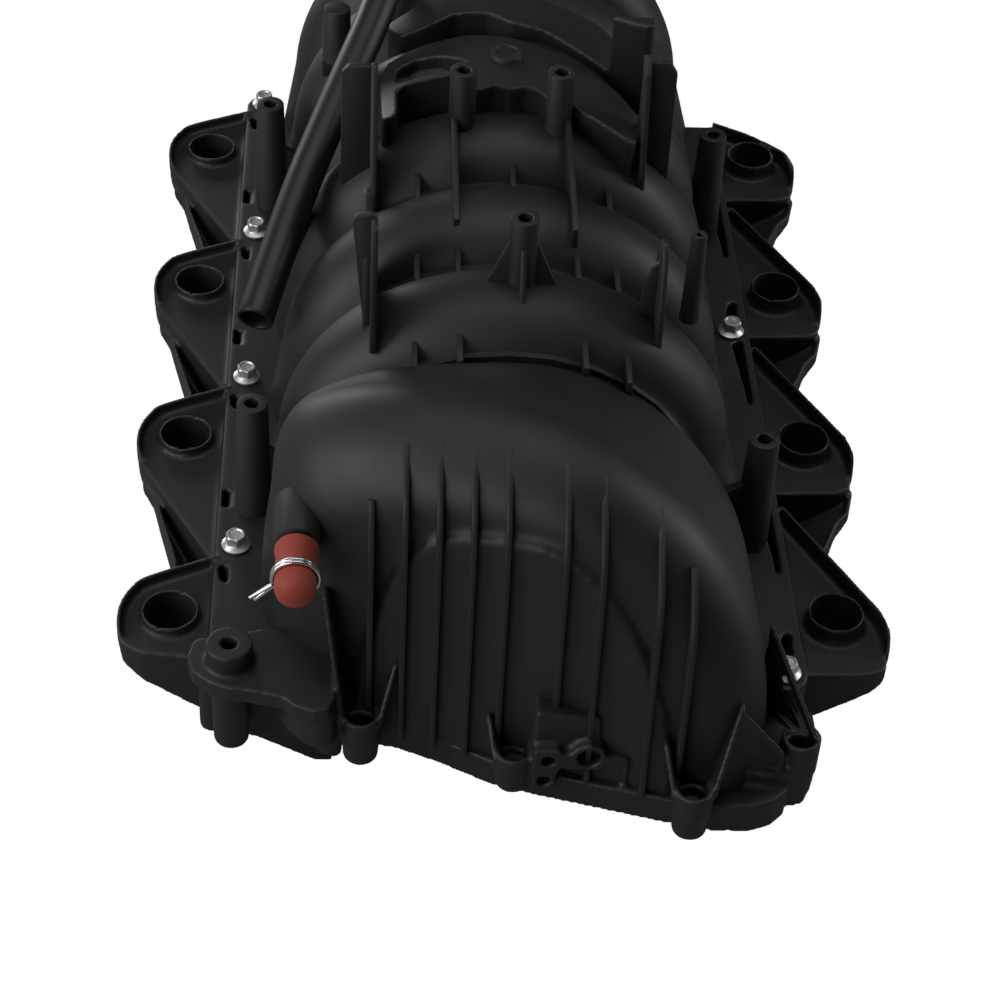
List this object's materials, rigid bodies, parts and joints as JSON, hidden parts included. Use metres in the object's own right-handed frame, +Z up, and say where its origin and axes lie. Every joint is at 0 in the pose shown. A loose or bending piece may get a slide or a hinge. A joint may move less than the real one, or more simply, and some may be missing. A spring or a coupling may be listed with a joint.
{
  "type": "intake manifold",
  "caption": "Moulded V8 intake manifold: arched runners over a plenum, rear dome, splayed injector ears, captive bolts, vapour pipe, capped vacuum nipple.",
  "frame": {"origin": "middle of the bounding box, at the bottom: the lower edges of the two port flanges, on which the part stands", "axes": "+Y to the front of the engine (throttle end), +X to the right bank as seen from the closed rear end, +Z up"},
  "size_m": [0.322, 0.526, 0.21],
  "materials": {
    "black_nylon": "moulded satin",
    "pipe_nylon": "smooth extruded satin",
    "zinc_steel": "bright zinc plate",
    "spring_wire": "bright zinc plate",
    "brass_insert": "turned",
    "seal_rubber": "matt",
    "cap_rubber": "smooth silicone"
  },
  "bodies": {
    "manifold": {"upper_shell": "black_nylon", "runner_core": "black_nylon", "lower_shell": "black_nylon", "left_port_flange": "black_nylon", "port_seal_left_1": "seal_rubber", "bolt_sleeve_left_1": "zinc_steel", "port_seal_left_2": "seal_rubber", "bolt_sleeve_left_2": "zinc_steel", "port_seal_left_3": "seal_rubber", "bolt_sleeve_left_3": "zinc_steel", "port_seal_left_4": "seal_rubber", "bolt_sleeve_left_4": "zinc_steel", "right_port_flange": "black_nylon", "port_seal_right_1": "seal_rubber", "bolt_sleeve_right_1": "zinc_steel", "port_seal_right_2": "seal_rubber", "bolt_sleeve_right_2": "zinc_steel", "port_seal_right_3": "seal_rubber", "bolt_sleeve_right_3": "zinc_steel", "port_seal_right_4": "seal_rubber", "bolt_sleeve_right_4": "zinc_steel", "throttle_flange": "black_nylon", "throttle_seal": "seal_rubber", "throttle_insert_1": "brass_insert", "throttle_insert_2": "brass_insert", "throttle_insert_3": "brass_insert", "throttle_insert_4": "brass_insert", "vacuum_cap": "cap_rubber", "cap_clamp": "spring_wire", "vapour_pipe": "pipe_nylon"},
    "bolt_left_1": {"fixing_bolt_left_1": "zinc_steel"},
    "bolt_left_2": {"fixing_bolt_left_2": "zinc_steel"},
    "bolt_left_3": {"fixing_bolt_left_3": "zinc_steel"},
    "bolt_left_4": {"fixing_bolt_left_4": "zinc_steel"},
    "bolt_right_1": {"fixing_bolt_right_1": "zinc_steel"},
    "bolt_right_2": {"fixing_bolt_right_2": "zinc_steel"},
    "bolt_right_3": {"fixing_bolt_right_3": "zinc_steel"},
    "bolt_right_4": {"fixing_bolt_right_4": "zinc_steel"}
  },
  "joints": [
    {"name": "bolt_left_1_lift", "type": "slide", "parent": "manifold", "child": "bolt_left_1", "axis": [0, 0, 1], "range_m": [0, 0.012]},
    {"name": "bolt_left_2_lift", "type": "slide", "parent": "manifold", "child": "bolt_left_2", "axis": [0, 0, 1], "range_m": [0, 0.012]},
    {"name": "bolt_left_3_lift", "type": "slide", "parent": "manifold", "child": "bolt_left_3", "axis": [0, 0, 1], "range_m": [0, 0.012]},
    {"name": "bolt_left_4_lift", "type": "slide", "parent": "manifold", "child": "bolt_left_4", "axis": [0, 0, 1], "range_m": [0, 0.012]},
    {"name": "bolt_right_1_lift", "type": "slide", "parent": "manifold", "child": "bolt_right_1", "axis": [0, 0, 1], "range_m": [0, 0.012]},
    {"name": "bolt_right_2_lift", "type": "slide", "parent": "manifold", "child": "bolt_right_2", "axis": [0, 0, 1], "range_m": [0, 0.012]},
    {"name": "bolt_right_3_lift", "type": "slide", "parent": "manifold", "child": "bolt_right_3", "axis": [0, 0, 1], "range_m": [0, 0.012]},
    {"name": "bolt_right_4_lift", "type": "slide", "parent": "manifold", "child": "bolt_right_4", "axis": [0, 0, 1], "range_m": [0, 0.012]}
  ]
}
